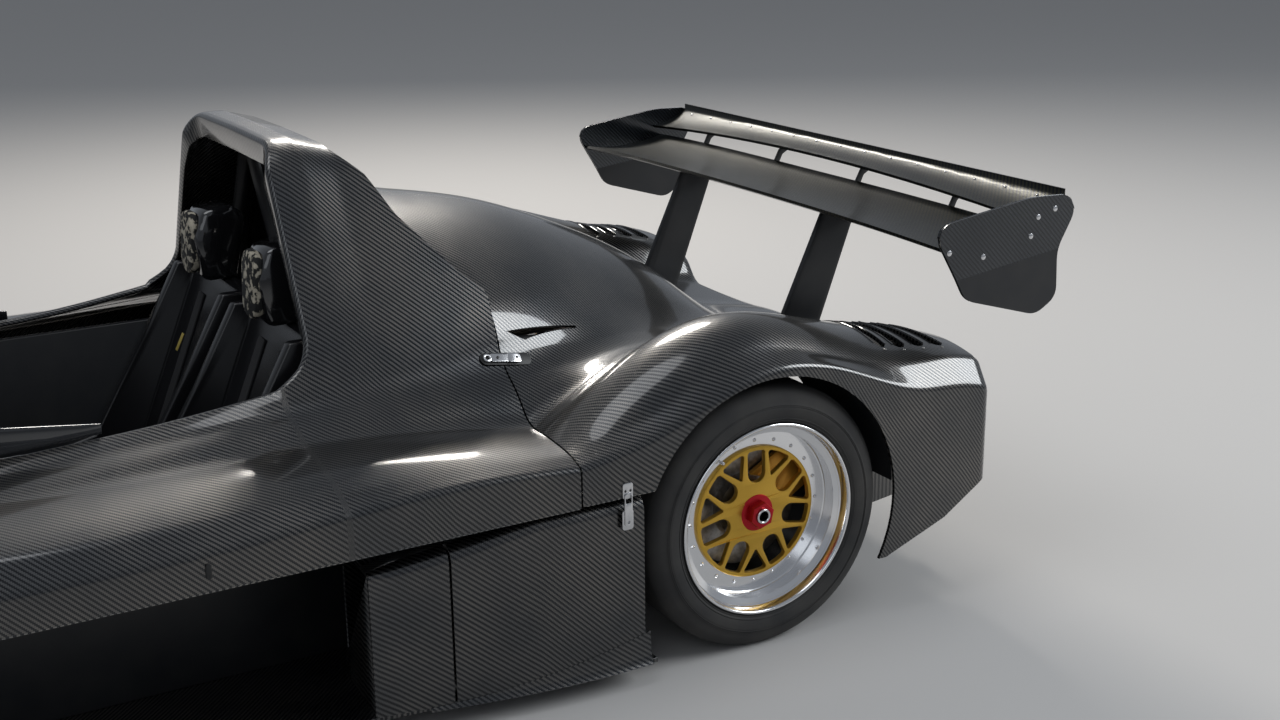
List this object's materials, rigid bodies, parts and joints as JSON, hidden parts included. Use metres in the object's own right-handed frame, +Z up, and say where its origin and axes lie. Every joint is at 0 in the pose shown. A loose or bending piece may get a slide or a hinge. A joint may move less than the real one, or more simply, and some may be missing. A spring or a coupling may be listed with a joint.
{
  "type": "open two-seat sports prototype race car",
  "caption": "Low open-cockpit track car with full-width carbon body, hoop cowl over both seats and a rear wing on posts.",
  "frame": {"origin": "on the ground, at the middle of the car's length and width", "axes": "+Z up, the nose points to -Y, the car's left side is +X"},
  "size_m": [1.782, 4.138, 1.128],
  "materials": {
    "carbon_gloss": "clear-coated twill carbon fibre",
    "carbon_matte": "matt carbon fibre",
    "frame_black": "black powder coat",
    "alloy": "machined alloy",
    "wheel_alloy": "polished lip, gold centre",
    "hub_steel": "steel disc, red centre nut",
    "caliper_gold": "gold caliper on grey upright",
    "tyre_rubber": "matt slick",
    "engine_alloy": "cast",
    "exhaust_steel": "heat tinted",
    "seat_shell": "gloss black shell",
    "headrest_cloth": "mottled cream and black",
    "belt_webbing": "woven",
    "lamp_lens": "clear",
    "lamp_red": "gloss",
    "screen_tint": "gloss",
    "grip": "suede over an alloy frame"
  },
  "bodies": {
    "chassis": {"nose_body": "carbon_gloss", "headlamp_lenses": "lamp_lens", "cockpit_surround": "carbon_gloss", "hoop_cowl": "carbon_gloss", "floor_pan": "carbon_gloss", "front_splitter": "carbon_gloss", "diffuser": "carbon_gloss", "side_pods": "carbon_gloss", "chassis_tub": "carbon_matte", "back_panel": "carbon_gloss", "engine_block": "engine_alloy", "gearbox": "engine_alloy", "tail_frame": "frame_black", "exhaust": "exhaust_steel", "seats": "seat_shell", "headrests": "headrest_cloth", "harness": "belt_webbing", "roll_hoop": "frame_black", "dashboard": "carbon_matte", "wind_deflector": "screen_tint", "mirrors": "carbon_gloss", "steering_column": "frame_black", "front_wishbones": "frame_black", "rear_wishbones": "frame_black", "upright_rear_left": "caliper_gold", "upright_rear_right": "caliper_gold"},
    "rear_clam": {"rear_body": "carbon_gloss", "tail_lamps": "lamp_red", "latches": "alloy", "wing_main": "carbon_gloss", "wing_flap": "carbon_gloss", "wing_end_plates": "carbon_matte", "wing_posts": "carbon_matte"},
    "steering_wheel": {"steering_wheel": "grip"},
    "rack": {"steering_rack": "frame_black"},
    "knuckle_left": {"upright_front_left": "caliper_gold"},
    "knuckle_right": {"upright_front_right": "caliper_gold"},
    "wheel_front_left": {"tyre_front_left": "tyre_rubber", "rim_front_left": "wheel_alloy", "hub_front_left": "hub_steel"},
    "wheel_front_right": {"tyre_front_right": "tyre_rubber", "rim_front_right": "wheel_alloy", "hub_front_right": "hub_steel"},
    "wheel_rear_left": {"tyre_rear_left": "tyre_rubber", "rim_rear_left": "wheel_alloy", "hub_rear_left": "hub_steel"},
    "wheel_rear_right": {"tyre_rear_right": "tyre_rubber", "rim_rear_right": "wheel_alloy", "hub_rear_right": "hub_steel"}
  },
  "joints": [
    {"name": "tail_lift", "type": "hinge", "parent": "chassis", "child": "rear_clam", "pos_m": [0, 1.8, 0.3], "axis": [-1, 0, 0], "range_deg": [0, 50]},
    {"name": "steering", "type": "hinge", "parent": "chassis", "child": "steering_wheel", "pos_m": [0.235, -0.3, 0.52], "axis": [0, 0.9667, 0.2561], "range_deg": [-216, 216]},
    {"name": "rack_slide", "type": "slide", "parent": "chassis", "child": "rack", "axis": [-1, 0, 0], "range_m": [-0.032, 0.032]},
    {"name": "steer_left", "type": "hinge", "parent": "chassis", "child": "knuckle_left", "pos_m": [0.69, -1.17, 0.29], "axis": [0, 0, 1], "range_deg": [-18.2, 18.2]},
    {"name": "steer_right", "type": "hinge", "parent": "chassis", "child": "knuckle_right", "pos_m": [-0.69, -1.17, 0.29], "axis": [0, 0, 1], "range_deg": [-18.2, 18.2]},
    {"name": "spin_front_left", "type": "hinge", "parent": "knuckle_left", "child": "wheel_front_left", "pos_m": [0.76, -1.17, 0.29], "axis": [1, 0, 0], "continuous": true},
    {"name": "spin_front_right", "type": "hinge", "parent": "knuckle_right", "child": "wheel_front_right", "pos_m": [-0.76, -1.17, 0.29], "axis": [1, 0, 0], "continuous": true},
    {"name": "spin_rear_left", "type": "hinge", "parent": "chassis", "child": "wheel_rear_left", "pos_m": [0.76, 1.2, 0.3025], "axis": [1, 0, 0], "continuous": true},
    {"name": "spin_rear_right", "type": "hinge", "parent": "chassis", "child": "wheel_rear_right", "pos_m": [-0.76, 1.2, 0.3025], "axis": [1, 0, 0], "continuous": true}
  ],
  "couplings": [
    {"joint": "rack_slide", "follows": "steering", "m_per_rad": 0.008196},
    {"joint": "steer_left", "follows": "steering", "ratio": 0.083333},
    {"joint": "steer_right", "follows": "steering", "ratio": 0.083333}
  ]
}
